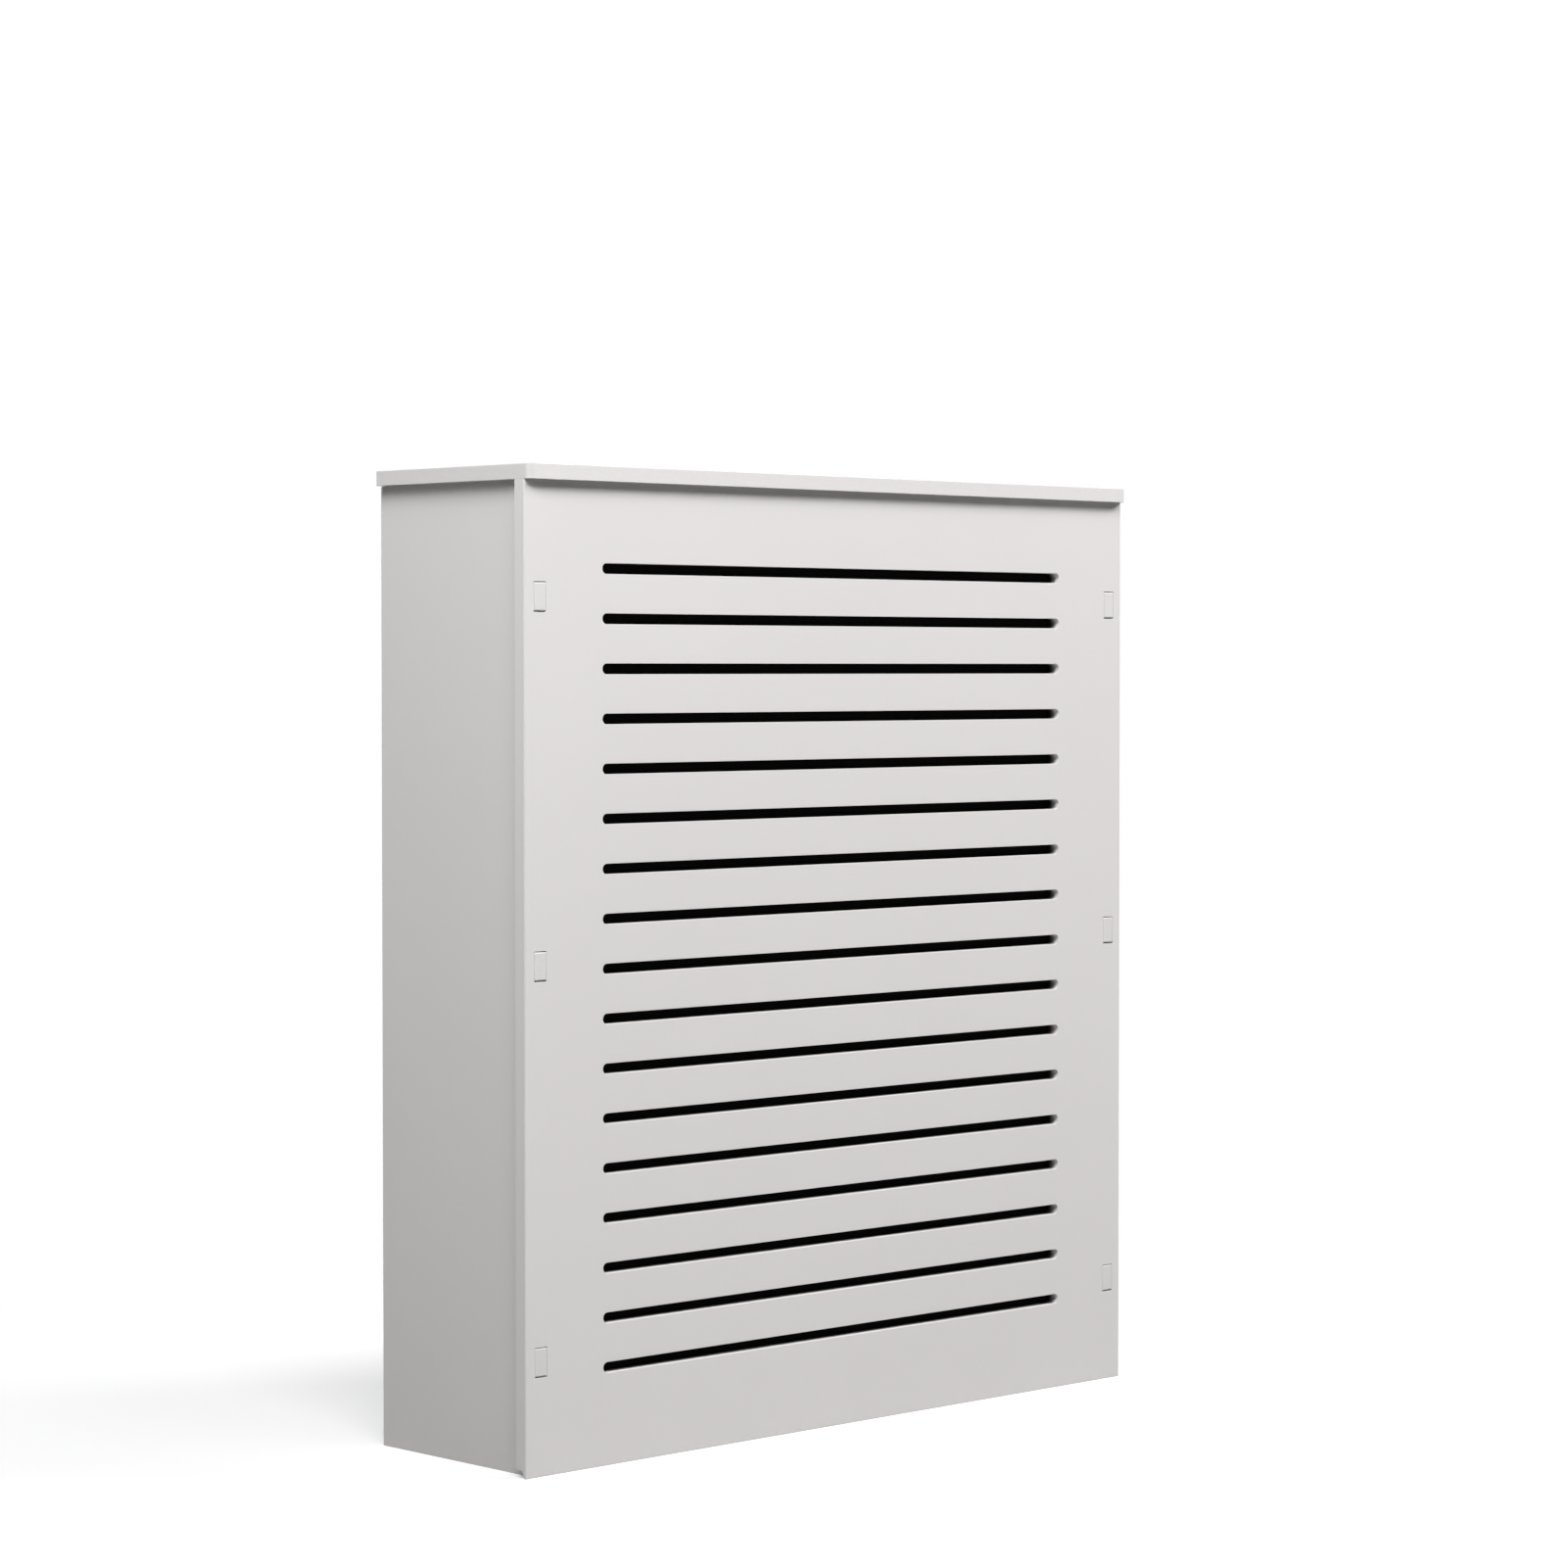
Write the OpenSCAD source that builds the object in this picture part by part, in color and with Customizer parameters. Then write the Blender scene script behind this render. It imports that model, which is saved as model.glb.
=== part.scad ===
// Radiator shelf: a slotted front panel hung on six tabs, two side panels, a lift-off shelf board and an open back.
// +Z is up and the front faces -Y. The origin is on the floor, midway across the width and the depth.

/* [Overall] */
// Width of the shelf board and of the front panel
cover_w = 700; // [500:10:1200]
// Depth from the shelf board's front edge to the wall
cover_d = 200; // [160:5:300]
// Height from the floor to the top face of the shelf board
cover_h = 800; // [600:10:1000]
// Thickness of every board
board = 12; // [10:1:18]
// How far the side panels stand in from the front panel's edges
side_inset = 10; // [0:1:30]

/* [Shelf board] */
// How far the shelf board stands out past the front panel
shelf_overhang = 7; // [0:1:30]
// Radius of the shelf board's upright front corners
shelf_corner_r = 6; // [1:0.5:10]
// Gap between the shelf board's rear edge and the wall
shelf_rear_gap = 6; // [0:1:15]

/* [Front panel] */
// Gap between the front panel and the floor
floor_gap = 0.2; // [0.1:0.1:5]
// Radius of the front panel's upright front edges
front_edge_r = 1.2; // [0.6:0.2:5]
// Height of the cut that thins the front panel's foot from behind
foot_cut_h = 6; // [2:0.5:10]
// Depth of that cut at its top
foot_cut_d = 7; // [2:0.5:8]
// Thickness left at the bottom of the foot
foot_lip = 1.5; // [1:0.5:5]

/* [Slots] */
// Height of one slot
slot_h = 8.5; // [4:0.5:14]
// Distance from one slot to the next
slot_pitch = 40; // [24:1:60]
// Distance from the panel's edge to the end of a slot
slot_margin = 81.5; // [75:0.5:150]
// Height of the lowest slot above the floor
slot_low_z = 79; // [70:1:120]
// Least board left between the highest slot and the shelf
slot_top_land = 60; // [40:1:120]

/* [Tabs] */
// Height of one tab
tab_h = 22.5; // [12:0.5:40]
// Height of the lowest tab above the floor
tab_low_z = 91; // [70:1:160]
// Distance of the highest tab below the shelf
tab_high_drop = 92; // [70:1:160]
// Height of the middle tab above the floor
tab_mid_z = 404.5; // [250:0.5:450]
// Gap above a tab in its mortise
tab_gap_top = 0.6; // [0.2:0.1:2]
// Gap below a tab in its mortise
tab_gap_bottom = 1; // [0.2:0.1:3]
// Gap round a tab's or a tenon's sides
fit_gap = 0.3; // [0.1:0.05:1]

/* [Shelf tenons] */
// Length of one tenon along the depth
tenon_l = 50; // [20:1:60]
// Height of one tenon
tenon_h = 6; // [3:0.5:7]
// Distance of the tenons from the side panel's front and rear edges
tenon_end = 20; // [10:1:25]

/* [Cross boards] */
// Height of the rail between the side panels at the top of the back
rail_h = 60; // [40:1:100]
// Height of the stretcher between the side panels behind the panel's foot
stretcher_h = 36; // [30:1:40]
// Height of the stretcher's lower edge above the floor
stretcher_z = 6; // [2:1:8]

/* [Wall fixing] */
// Distance between the two wall fixing holes
wall_hole_span = 400; // [200:10:420]
// Diameter of a wall fixing hole
wall_hole_d = 5; // [4:0.5:6]

/* [Brackets] */
// Length of each leg of a corner bracket
bracket_leg = 30; // [28:1:36]
// Width of a corner bracket
bracket_w = 20; // [12:1:24]
// Thickness of the bracket's steel
bracket_t = 2; // [1.5:0.1:2.5]
// Outer radius of the bracket's bend and of its corners
bracket_r = 3; // [2.6:0.1:4]
// Distance from the bend to the nearer screw
bracket_hole_near = 11; // [9:0.5:12]
// Distance from the bend to the farther screw
bracket_hole_far = 23; // [20:0.5:24]
// Gap round a screw in the bracket's hole
bracket_hole_gap = 0.4; // [0.2:0.1:0.6]
// Diameter of a bracket screw
screw_d = 3.5; // [3:0.1:4]
// Length of a bracket screw under its head
screw_l = 11; // [8:0.5:11]
// Diameter of a bracket screw's head
screw_head_d = 6.6; // [5:0.1:7]
// Height of a bracket screw's head
screw_head_h = 2.2; // [1.5:0.1:3]

/* [Dust cloth] */
// Thickness of the dust cloth behind the slots
cloth_t = 0.6; // [0.4:0.1:1]
// How far the battens stay from the slots
batten_clear = 6; // [3:1:10]
// Width of a batten
batten_w = 14; // [10:1:16]
// Thickness of a batten
batten_t = 3; // [2:0.5:5]
// Screws along one batten
batten_screws_each = 5; // [3:1:9]
// Distance from a batten's end to its end screws
batten_screw_end = 20; // [10:1:30]
// Diameter of a batten screw
batten_screw_d = 2.5; // [2:0.1:3]
// Length of a batten screw under its head
batten_screw_l = 9; // [7:0.5:11]
// Diameter of a batten screw's head
batten_head_d = 5; // [4:0.1:6]
// Height of a batten screw's head
batten_head_h = 1.6; // [1:0.1:2]

/* [Hidden] */
$fn = 48;

// A small distance by which a cutting solid runs past what it cuts
past = 1;
// Gap round a screw in its pilot hole, and below its tip
pilot_gap = 0.05;
tip_gap = 0.4;

// Planes of the boards
front_y = -cover_d / 2 + shelf_overhang;
panel_back_y = front_y + board;
rear_y = cover_d / 2;
shelf_z = cover_h - board;
side_out_x = cover_w / 2 - side_inset;
side_in_x = side_out_x - board;

// Slots from the lowest to the highest that leaves the least board above it
slot_count = floor((shelf_z - slot_top_land - slot_low_z) / slot_pitch) + 1;
slot_high_z = slot_low_z + (slot_count - 1) * slot_pitch;
slot_end_x = cover_w / 2 - slot_margin;

tab_zs = [tab_low_z, tab_mid_z, shelf_z - tab_high_drop];
tenon_ys = [panel_back_y + tenon_end, rear_y - tenon_end - tenon_l];

rail_z = shelf_z - rail_h;
rail_mid_z = shelf_z - rail_h / 2;
stretcher_mid_z = stretcher_z + stretcher_h / 2;

// Inner and outer edges of the ring of battens
ring_in_x = slot_end_x + batten_clear;
ring_out_x = ring_in_x + batten_w;
ring_low_z = slot_low_z - slot_h / 2 - batten_clear;
ring_high_z = slot_high_z + slot_h / 2 + batten_clear;
batten_y = panel_back_y + cloth_t;

// Screw places: along the two level battens, then along the two upright ones
function spread(from, to, count) = [for (i = [0 : count - 1]) from + (to - from) * i / (count - 1)];
level_xs = spread(-ring_out_x + batten_screw_end, ring_out_x - batten_screw_end, batten_screws_each);
upright_zs = spread(ring_low_z + batten_screw_end, ring_high_z - batten_screw_end, batten_screws_each);
level_zs = [ring_low_z - batten_w / 2, ring_high_z + batten_w / 2];
upright_xs = [-ring_in_x - batten_w / 2, ring_in_x + batten_w / 2];
batten_spots = concat(
    [for (z = level_zs) for (x = level_xs) [x, z]],
    [for (x = upright_xs) for (z = upright_zs) [x, z]]
);

// Plan of a board whose two front corners are rounded, its front edge on the X axis
module round_front_plan(w, d, r) {
    translate([-w / 2, r]) square([w, d - r]);
    translate([-w / 2 + r, 0]) square([w - 2 * r, d]);
    for (s = [-1, 1]) translate([s * (w / 2 - r), r]) circle(r);
}

// Round-ended slot through the front panel, centred on the Y axis
module slot_cut() {
    straight = 2 * slot_end_x - slot_h;
    translate([-straight / 2, -past, -slot_h / 2]) cube([straight, board + 2 * past, slot_h]);
    for (s = [-1, 1]) {
        translate([s * straight / 2, -past, 0]) rotate([-90, 0, 0]) cylinder(d = slot_h, h = board + 2 * past);
    }
}

// Mortise for one tab, in the front panel, for the side panel on the right
module tab_mortise(z) {
    translate([side_in_x - fit_gap, front_y - past, z - tab_h / 2 - tab_gap_bottom])
        cube([board + 2 * fit_gap, board + 2 * past, tab_h + tab_gap_top + tab_gap_bottom]);
}

// Wedge cut away behind the front panel's foot, right across the width
module foot_cut() {
    outline = [
        [front_y + foot_lip, floor_gap - past],
        [front_y + foot_lip, floor_gap],
        [panel_back_y - foot_cut_d, floor_gap + foot_cut_h],
        [panel_back_y + past, floor_gap + foot_cut_h],
        [panel_back_y + past, floor_gap - past]
    ];
    translate([-cover_w / 2 - past, 0, 0]) rotate([90, 0, 90]) linear_extrude(cover_w + 2 * past) polygon(outline);
}

// Screw along -Z: its head stands on the plane z = 0 and its shank goes down
module pan_screw(d, l, head_d, head_h) {
    tip = d / 2;
    recess = head_d * 0.5;
    blade = head_d * 0.15;
    difference() {
        union() {
            cylinder(d = head_d, h = head_h / 2);
            translate([0, 0, head_h / 2]) cylinder(d1 = head_d, d2 = head_d * 0.7, h = head_h / 2);
            translate([0, 0, -l + tip]) cylinder(d = d, h = l - tip);
            translate([0, 0, -l]) cylinder(d1 = d * 0.2, d2 = d, h = tip);
        }
        for (a = [0, 90]) rotate(a) translate([-recess / 2, -blade / 2, head_h / 2]) cube([recess, blade, head_h]);
    }
}

// Pilot hole for a screw that goes down from the plane z = 0
module pilot(d, l) {
    translate([0, 0, -l - tip_gap]) cylinder(d = d + 2 * pilot_gap, h = l + tip_gap + past);
}

// One flat leg of a bracket: along +X from the bend, lying on the plane y = 0, its width centred on z = 0
module bracket_plate() {
    end_x = bracket_leg - bracket_r;
    side_z = bracket_w / 2 - bracket_r;
    rotate([90, 0, 0]) translate([0, 0, -bracket_t]) linear_extrude(bracket_t) difference() {
        union() {
            translate([bracket_r, -bracket_w / 2]) square([end_x - bracket_r, bracket_w]);
            translate([end_x, -side_z]) square([bracket_r, 2 * side_z]);
            for (s = [-1, 1]) translate([end_x, s * side_z]) circle(bracket_r);
        }
        for (x = [bracket_hole_near, bracket_hole_far]) translate([x, 0]) circle(d = screw_d + 2 * bracket_hole_gap);
    }
}

// Bent steel angle with its outer faces on the planes x = 0 and y = 0
module bracket_shape() {
    bracket_plate();
    mirror([1, -1, 0]) bracket_plate();
    translate([0, 0, -bracket_w / 2]) intersection() {
        cube([bracket_r, bracket_r, bracket_w]);
        translate([bracket_r, bracket_r, 0]) difference() {
            cylinder(r = bracket_r, h = bracket_w);
            translate([0, 0, -past]) cylinder(r = bracket_r - bracket_t, h = bracket_w + 2 * past);
        }
    }
}

// Puts a child at each of a bracket's four screws, with the head's plane at z = 0 and the tip towards the board
module at_bracket_screws() {
    for (x = [bracket_hole_near, bracket_hole_far]) {
        translate([x, bracket_t, 0]) rotate([-90, 0, 0]) children();
        translate([bracket_t, x, 0]) rotate([0, 90, 0]) children();
    }
}

// Puts a child in the corner of a side panel and a cross board
module at_rear_corner(side) {
    translate([side * side_in_x, rear_y - board, rail_mid_z]) mirror([side > 0 ? 1 : 0, 0, 0]) mirror([0, 1, 0]) children();
}

module at_front_corner(side) {
    translate([side * side_in_x, panel_back_y + board, stretcher_mid_z]) mirror([side > 0 ? 1 : 0, 0, 0]) children();
}

module bracket_screw() {
    pan_screw(screw_d, screw_l, screw_head_d, screw_head_h);
}

module bracket_pilots() {
    at_bracket_screws() pilot(screw_d, screw_l);
}

// Side panel on the right, with tabs at its front edge and tenons on its top edge
module side_panel_shape() {
    difference() {
        union() {
            translate([side_in_x, panel_back_y, 0]) cube([board, rear_y - panel_back_y, shelf_z]);
            for (z = tab_zs) translate([side_in_x, front_y, z - tab_h / 2]) cube([board, 2 * board, tab_h]);
            for (y = tenon_ys) translate([side_in_x, y, shelf_z - board]) cube([board, tenon_l, board + tenon_h]);
        }
        at_rear_corner(1) bracket_pilots();
        at_front_corner(1) bracket_pilots();
    }
}

// Batten from one corner to another on the plane behind the cloth, with its screw holes
module batten_shape(x0, x1, z0, z1) {
    difference() {
        translate([x0, batten_y, z0]) cube([x1 - x0, batten_t, z1 - z0]);
        batten_holes();
    }
}

// Puts a child at each batten screw, with the head's plane on the battens and the tip towards the front
module at_batten_screws() {
    for (spot = batten_spots) translate([spot.x, batten_y + batten_t, spot.y]) rotate([-90, 0, 0]) children();
}

module batten_holes() {
    at_batten_screws() pilot(batten_screw_d, batten_screw_l);
}

// Shelf board with four blind mortises for the tenons
module top_board() {
    color("white") difference() {
        translate([0, -cover_d / 2, shelf_z]) linear_extrude(board)
            round_front_plan(cover_w, cover_d - shelf_rear_gap, shelf_corner_r);
        for (s = [0, 1]) mirror([s, 0, 0]) for (y = tenon_ys) {
            translate([side_in_x - fit_gap, y - fit_gap, shelf_z - past])
                cube([board + 2 * fit_gap, tenon_l + 2 * fit_gap, tenon_h + fit_gap + past]);
        }
    }
}

// Front panel with its slots, mortises and thinned foot
module front_panel() {
    color("white") difference() {
        translate([0, front_y, floor_gap]) linear_extrude(shelf_z - floor_gap) round_front_plan(cover_w, board, front_edge_r);
        for (i = [0 : slot_count - 1]) translate([0, front_y, slot_low_z + i * slot_pitch]) slot_cut();
        for (s = [0, 1]) mirror([s, 0, 0]) for (z = tab_zs) tab_mortise(z);
        foot_cut();
        batten_holes();
    }
}

module left_side_panel() {
    color("gainsboro") mirror([1, 0, 0]) side_panel_shape();
}

module right_side_panel() {
    color("gainsboro") side_panel_shape();
}

// Rail between the side panels under the shelf, against the wall, with two wall fixing holes
module rear_rail() {
    color("whitesmoke") difference() {
        translate([-side_in_x, rear_y - board, rail_z]) cube([2 * side_in_x, board, rail_h]);
        for (s = [-1, 1]) {
            translate([s * wall_hole_span / 2, rear_y - board - past, rail_mid_z])
                rotate([-90, 0, 0]) cylinder(d = wall_hole_d, h = board + 2 * past);
            at_rear_corner(s) bracket_pilots();
        }
    }
}

// Low stretcher that the front panel's back rests against
module front_stretcher() {
    color("whitesmoke") difference() {
        translate([-side_in_x, panel_back_y, stretcher_z]) cube([2 * side_in_x, board, stretcher_h]);
        for (s = [-1, 1]) at_front_corner(s) bracket_pilots();
    }
}

module rear_left_bracket() {
    color("silver") at_rear_corner(-1) bracket_shape();
}

module rear_right_bracket() {
    color("silver") at_rear_corner(1) bracket_shape();
}

module front_left_bracket() {
    color("silver") at_front_corner(-1) bracket_shape();
}

module front_right_bracket() {
    color("silver") at_front_corner(1) bracket_shape();
}

module rear_left_screws() {
    color("silver") at_rear_corner(-1) at_bracket_screws() bracket_screw();
}

module rear_right_screws() {
    color("silver") at_rear_corner(1) at_bracket_screws() bracket_screw();
}

module front_left_screws() {
    color("silver") at_front_corner(-1) at_bracket_screws() bracket_screw();
}

module front_right_screws() {
    color("silver") at_front_corner(1) at_bracket_screws() bracket_screw();
}

// Black dust cloth stretched over the backs of the slots
module slot_screen() {
    color("black") difference() {
        translate([-ring_out_x, panel_back_y, ring_low_z - batten_w])
            cube([2 * ring_out_x, cloth_t, ring_high_z - ring_low_z + 2 * batten_w]);
        batten_holes();
    }
}

module upper_batten() {
    color("whitesmoke") batten_shape(-ring_out_x, ring_out_x, ring_high_z, ring_high_z + batten_w);
}

module lower_batten() {
    color("whitesmoke") batten_shape(-ring_out_x, ring_out_x, ring_low_z - batten_w, ring_low_z);
}

module left_batten() {
    color("whitesmoke") batten_shape(-ring_out_x, -ring_in_x, ring_low_z, ring_high_z);
}

module right_batten() {
    color("whitesmoke") batten_shape(ring_in_x, ring_out_x, ring_low_z, ring_high_z);
}

module batten_screws() {
    color("silver") at_batten_screws() pan_screw(batten_screw_d, batten_screw_l, batten_head_d, batten_head_h);
}

top_board();
front_panel();
left_side_panel();
right_side_panel();
rear_rail();
front_stretcher();
rear_left_bracket();
rear_right_bracket();
front_left_bracket();
front_right_bracket();
rear_left_screws();
rear_right_screws();
front_left_screws();
front_right_screws();
slot_screen();
upper_batten();
lower_batten();
left_batten();
right_batten();
batten_screws();
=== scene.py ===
"""Looks of a white flat-pack radiator shelf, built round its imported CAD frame. The object's lengths are
written in millimetres, and those of the studio and the camera in metres."""

import math

import bmesh
import bpy
import numpy as np
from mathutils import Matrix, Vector


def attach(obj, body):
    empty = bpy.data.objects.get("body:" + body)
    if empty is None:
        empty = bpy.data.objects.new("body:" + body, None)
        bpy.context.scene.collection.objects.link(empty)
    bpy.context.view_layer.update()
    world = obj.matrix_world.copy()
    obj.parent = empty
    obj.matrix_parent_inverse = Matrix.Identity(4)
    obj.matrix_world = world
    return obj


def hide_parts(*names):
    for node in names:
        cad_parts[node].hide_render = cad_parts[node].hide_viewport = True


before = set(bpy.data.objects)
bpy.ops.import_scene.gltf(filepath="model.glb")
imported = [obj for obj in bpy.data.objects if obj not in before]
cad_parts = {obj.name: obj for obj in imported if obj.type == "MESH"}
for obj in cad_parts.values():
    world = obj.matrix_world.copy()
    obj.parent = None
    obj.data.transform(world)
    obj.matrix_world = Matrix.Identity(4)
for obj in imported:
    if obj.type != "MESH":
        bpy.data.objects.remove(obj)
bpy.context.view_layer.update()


# Side panels
# Two upright boards sawn from 12 mm PVC foam board. Three tabs on the front edge carry the front panel and
# two tenons on the top edge locate the shelf. Their faces keep the pressed satin skin of the sheet, and their
# sawn edges show the fine closed cells of the foam.

MM = 0.001
BOARD_THICK = 12
SIDE_OUTER_X = 340
SIDE_FRONT_Y = -81
SIDE_REAR_Y = 100
SIDE_TOP_Z = 788
FRONT_FACE_Y = SIDE_FRONT_Y - BOARD_THICK
TAB_MIDDLES_Z = (696, 404.5, 91)
TAB_HEIGHT = 22.5
TENON_SPANS_Y = ((30, 80), (-61, -11))
TENON_TOP_Z = 794
SIDE_EASE = 0.15
SIDE_CORNER_ROUND = 1.0
SAME_POINT = 1e-6

SKIN_WHITE = "#E6E4E2"
SKIN_WHITE_SHADE = "#E2E0DE"
FOAM_WHITE = "#E6E4E2"
FOAM_CELL_SHADE = "#DDDBD8"
PVC_IOR = 1.53
SHEET_CLOUD_MM = 140
SKIN_PEEL_MM = 5
SKIN_PEEL_HEIGHT_MM = 0.08
SKIN_PEEL_STRENGTH = 0.25
SKIN_PEEL_SPREAD = (0.3, 0.7)
SKIN_ROUGHNESS = (0.4, 0.5)
FOAM_CELL_MM = 0.9
FOAM_CELL_DEPTH_MM = 0.1
FOAM_CELL_STRENGTH = 0.3
SAWN_ROUGHNESS = 0.62


def linear(hex_colour):
    """Turns an sRGB hex colour into linear red, green, blue and alpha."""
    shown = np.array([int(hex_colour[i : i + 2], 16) for i in (1, 3, 5)]) / 255
    return (*np.where(shown <= 0.04045, shown / 12.92, ((shown + 0.055) / 1.055) ** 2.4), 1.0)


def add_node(tree, kind, wires=None, **settings):
    """Adds one node. Settings go on the node, and wires gives its inputs, each one a value or the output of
    another node."""
    made = tree.nodes.new(kind)
    for name, value in settings.items():
        setattr(made, name, value)
    for socket, value in (wires or {}).items():
        if isinstance(value, bpy.types.NodeSocket):
            tree.links.new(value, made.inputs[socket])
        else:
            made.inputs[socket].default_value = value
    return made


def new_material(name):
    """An empty material with its output node. Gives the material, its node tree and that output."""
    material = bpy.data.materials.new(name)
    material.use_nodes = True
    material.node_tree.nodes.clear()
    return material, material.node_tree, material.node_tree.nodes.new("ShaderNodeOutputMaterial")


def pressed_skin(name, light, shade):
    """PVC foam board skin, pressed against polished steel while hot: even white with a soft satin reflection.
    It gives a very faint clouding over the sheet and a shallow orange peel, drawn 5 mm wide because the real
    one of about 1 mm is too fine to show."""
    material, tree, output = new_material(name)
    place = add_node(tree, "ShaderNodeTexCoord").outputs["Object"]
    cloud = add_node(
        tree, "ShaderNodeTexNoise", {"Vector": place, "Scale": 1 / (SHEET_CLOUD_MM * MM), "Detail": 3.0}
    ).outputs["Fac"]
    peel = add_node(
        tree, "ShaderNodeTexNoise", {"Vector": place, "Scale": 1 / (SKIN_PEEL_MM * MM), "Detail": 2.0}
    ).outputs["Fac"]
    colour = add_node(
        tree,
        "ShaderNodeMix",
        {"Factor": cloud, "A": linear(light), "B": linear(shade)},
        data_type="RGBA",
    )
    roughness = add_node(
        tree,
        "ShaderNodeMapRange",
        {
            "Value": peel,
            "From Min": SKIN_PEEL_SPREAD[0],
            "From Max": SKIN_PEEL_SPREAD[1],
            "To Min": SKIN_ROUGHNESS[0],
            "To Max": SKIN_ROUGHNESS[1],
        },
    )
    bump = add_node(
        tree,
        "ShaderNodeBump",
        {"Height": peel, "Strength": SKIN_PEEL_STRENGTH, "Distance": SKIN_PEEL_HEIGHT_MM * MM},
    )
    shader = add_node(
        tree,
        "ShaderNodeBsdfPrincipled",
        {
            "Base Color": colour.outputs["Result"],
            "Roughness": roughness.outputs["Result"],
            "Normal": bump.outputs["Normal"],
            "IOR": PVC_IOR,
        },
    )
    tree.links.new(shader.outputs["BSDF"], output.inputs["Surface"])
    return material


def sawn_foam(name, light, shade, painted_shade=None, painted_shade_span_y=None):
    """Sawn and lightly sanded edge of PVC foam board: the same white, but matt, with the closed cells of the
    foam cut open. The cells are drawn 0.9 mm wide, about three times the real size, to show close up. With a
    painted shade colour, the white passes into it over a span of depths y, in millimetres: a painted shade
    that darkens a recess toward its back."""
    material, tree, output = new_material(name)
    place = add_node(tree, "ShaderNodeTexCoord").outputs["Object"]
    cells = add_node(
        tree, "ShaderNodeTexVoronoi", {"Vector": place, "Scale": 1 / (FOAM_CELL_MM * MM)}
    ).outputs["Distance"]
    colour = add_node(
        tree,
        "ShaderNodeMix",
        {"Factor": cells, "A": linear(light), "B": linear(shade)},
        data_type="RGBA",
    )
    if painted_shade:
        depth = add_node(tree, "ShaderNodeSeparateXYZ", {"Vector": place}).outputs["Y"]
        inward = add_node(
            tree,
            "ShaderNodeMapRange",
            {"Value": depth, "From Min": painted_shade_span_y[0] * MM, "From Max": painted_shade_span_y[1] * MM},
            interpolation_type="SMOOTHSTEP",
        )
        colour = add_node(
            tree,
            "ShaderNodeMix",
            {"Factor": inward.outputs["Result"], "A": colour.outputs["Result"], "B": linear(painted_shade)},
            data_type="RGBA",
        )
    bump = add_node(
        tree,
        "ShaderNodeBump",
        {"Height": cells, "Strength": FOAM_CELL_STRENGTH, "Distance": FOAM_CELL_DEPTH_MM * MM},
        invert=True,
    )
    shader = add_node(
        tree,
        "ShaderNodeBsdfPrincipled",
        {
            "Base Color": colour.outputs["Result"],
            "Roughness": SAWN_ROUGHNESS,
            "Normal": bump.outputs["Normal"],
            "IOR": PVC_IOR,
        },
    )
    tree.links.new(shader.outputs["BSDF"], output.inputs["Surface"])
    return material


def corner_path(corners, radii, steps=3):
    """Closed path round a polygon, and the direction out of the board at each of its points. At each corner
    the direction turns evenly from one side's to the next, and the point is the arc's centre plus the radius
    times it, or less that at a hollow corner. A path that runs clockwise is a hole, and its direction points
    into the hole. Where two arcs meet without a straight between them, they share one point."""
    corners = np.asarray(corners, float)
    ahead = np.roll(corners, -1, 0) - corners
    ahead /= np.linalg.norm(ahead, axis=1)[:, None]
    behind = np.roll(ahead, 1, 0)
    turn = np.arctan2(behind[:, 0] * ahead[:, 1] - behind[:, 1] * ahead[:, 0], (behind * ahead).sum(1))
    bend = (np.sign(turn) * np.broadcast_to(radii, len(corners)))[:, None]
    angle = np.arctan2(-behind[:, 0], behind[:, 1])[:, None] + turn[:, None] * np.linspace(0, 1, steps + 1)
    out = np.stack([np.cos(angle), np.sin(angle)], 2)
    start = corners - behind * np.abs(bend * np.tan(turn / 2)[:, None])
    points = (start[:, None] + bend[:, :, None] * (out - out[:, :1])).reshape(-1, 2)
    apart = np.linalg.norm(points - np.roll(points, 1, 0), axis=1) > SAME_POINT
    return points[apart], out.reshape(-1, 2)[apart]


def rounding(depth, thick, near, far):
    """How far an eased edge draws in at each depth, and how its normal leans from the near face, at minus a
    quarter turn, to the far one, at plus a quarter: a quarter circle, a straight and a quarter circle."""
    lean_near = np.arcsin(np.clip((depth - near) / near, -1, 0))
    lean_far = np.arcsin(np.clip((depth - thick + far) / far, 0, 1))
    return near * (1 - np.cos(lean_near)) + far * (1 - np.cos(lean_far)), lean_near + lean_far


def ring_depths(thick, near, far, steps=4):
    """Depths of the rings of an eased edge, evenly spaced in angle round its two quarter circles."""
    sweep = np.linspace(0, np.pi / 2, steps + 1)
    return np.concatenate([near * (1 - np.cos(sweep)), thick - far * (1 - np.sin(sweep))])


def edge_grid(path, out, depth, shift, lean):
    """Edge of a board as a grid, path by depth: each ring is the path drawn in by its shift, and each normal
    is the path's direction times the cosine of the lean, plus the depth's direction times its sine."""
    count, rings = len(path), len(depth)
    shift = np.broadcast_to(shift, (count, rings, 2))
    lean = np.broadcast_to(lean, (count, rings))
    deep = np.broadcast_to(depth, (count, rings))
    points = np.concatenate([path[:, None] - shift, deep[:, :, None]], 2)
    normals = np.concatenate([np.cos(lean)[:, :, None] * out[:, None], np.sin(lean)[:, :, None]], 2)
    return points, normals


def eased_edge(path, out, thick, near, far):
    """Edge grid of a plain board or through hole, with quarter circles of the near and far radii."""
    depth = ring_depths(thick, near, far)
    inset, lean = rounding(depth, thick, near, far)
    return edge_grid(path, out, depth, inset[None, :, None] * out[:, None], lean)


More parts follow.
